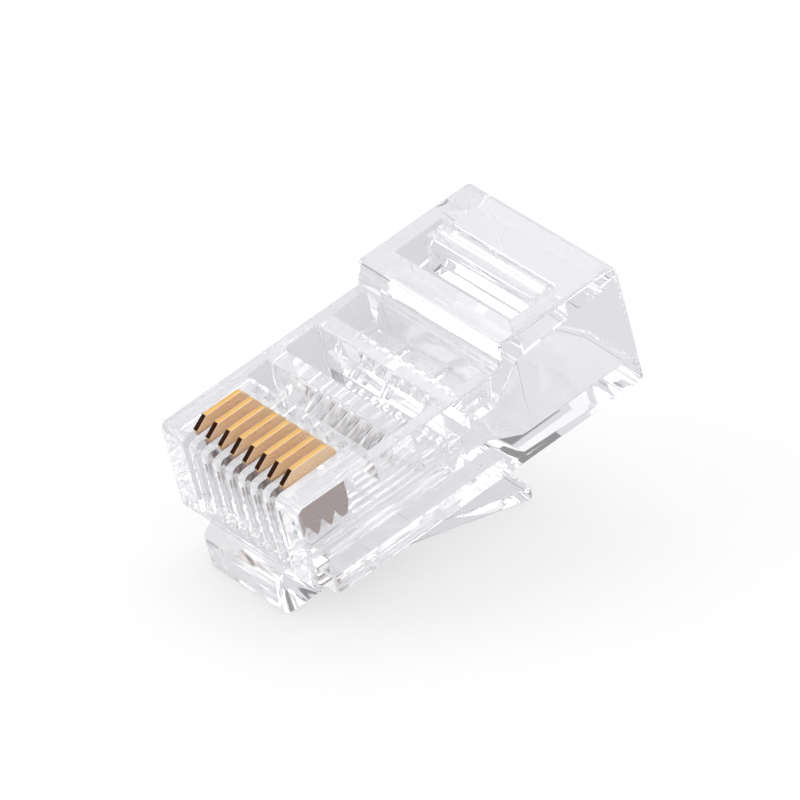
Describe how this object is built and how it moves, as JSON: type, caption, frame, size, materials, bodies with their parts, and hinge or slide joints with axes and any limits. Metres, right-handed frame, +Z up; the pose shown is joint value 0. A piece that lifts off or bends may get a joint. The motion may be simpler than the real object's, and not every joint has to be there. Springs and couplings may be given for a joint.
{
  "type": "rj45 modular plug",
  "caption": "Clear moulded network plug, not yet crimped: gold contact blades stand proud in a comb, with a flexing latch below and a hinged strain-relief bar over the cable entry.",
  "frame": {"origin": "middle of the footprint on the surface that the plug lies on, contact side up, on its foot and latch", "axes": "+X across the plug, towards contact 8; +Y level, from the nose towards the cable entry; +Z up. The plug's own length axis is pitched 14.7 degrees nose down."},
  "size_m": [0.0116, 0.0232, 0.0148],
  "materials": {
    "clear_plastic": "clear polished polycarbonate",
    "gold_plate": "gold flash over nickel on phosphor bronze"
  },
  "bodies": {
    "housing": {"housing": "clear_plastic"},
    "latch": {"latch": "clear_plastic"},
    "strain_relief": {"strain_relief": "clear_plastic"},
    "contact_1": {"contact_1": "gold_plate"},
    "contact_2": {"contact_2": "gold_plate"},
    "contact_3": {"contact_3": "gold_plate"},
    "contact_4": {"contact_4": "gold_plate"},
    "contact_5": {"contact_5": "gold_plate"},
    "contact_6": {"contact_6": "gold_plate"},
    "contact_7": {"contact_7": "gold_plate"},
    "contact_8": {"contact_8": "gold_plate"}
  },
  "joints": [
    {"name": "latch_flex", "type": "hinge", "parent": "housing", "child": "latch", "pos_m": [0, -0.00795, 0.00101], "axis": [1, 0, 0], "range_deg": [0, 15], "stiffness_Nm_per_rad": 0.12},
    {"name": "strain_relief_crimp", "type": "hinge", "parent": "housing", "child": "strain_relief", "pos_m": [0, 0.0062, 0.01386], "axis": [1, 0, 0], "range_deg": [0, 28]},
    {"name": "contact_1_crimp", "type": "slide", "parent": "housing", "child": "contact_1", "axis": [0, 0.2538, -0.9673], "range_m": [0, 0.00125]},
    {"name": "contact_2_crimp", "type": "slide", "parent": "housing", "child": "contact_2", "axis": [0, 0.2538, -0.9673], "range_m": [0, 0.00125]},
    {"name": "contact_3_crimp", "type": "slide", "parent": "housing", "child": "contact_3", "axis": [0, 0.2538, -0.9673], "range_m": [0, 0.00125]},
    {"name": "contact_4_crimp", "type": "slide", "parent": "housing", "child": "contact_4", "axis": [0, 0.2538, -0.9673], "range_m": [0, 0.00125]},
    {"name": "contact_5_crimp", "type": "slide", "parent": "housing", "child": "contact_5", "axis": [0, 0.2538, -0.9673], "range_m": [0, 0.00125]},
    {"name": "contact_6_crimp", "type": "slide", "parent": "housing", "child": "contact_6", "axis": [0, 0.2538, -0.9673], "range_m": [0, 0.00125]},
    {"name": "contact_7_crimp", "type": "slide", "parent": "housing", "child": "contact_7", "axis": [0, 0.2538, -0.9673], "range_m": [0, 0.00125]},
    {"name": "contact_8_crimp", "type": "slide", "parent": "housing", "child": "contact_8", "axis": [0, 0.2538, -0.9673], "range_m": [0, 0.00125]}
  ]
}
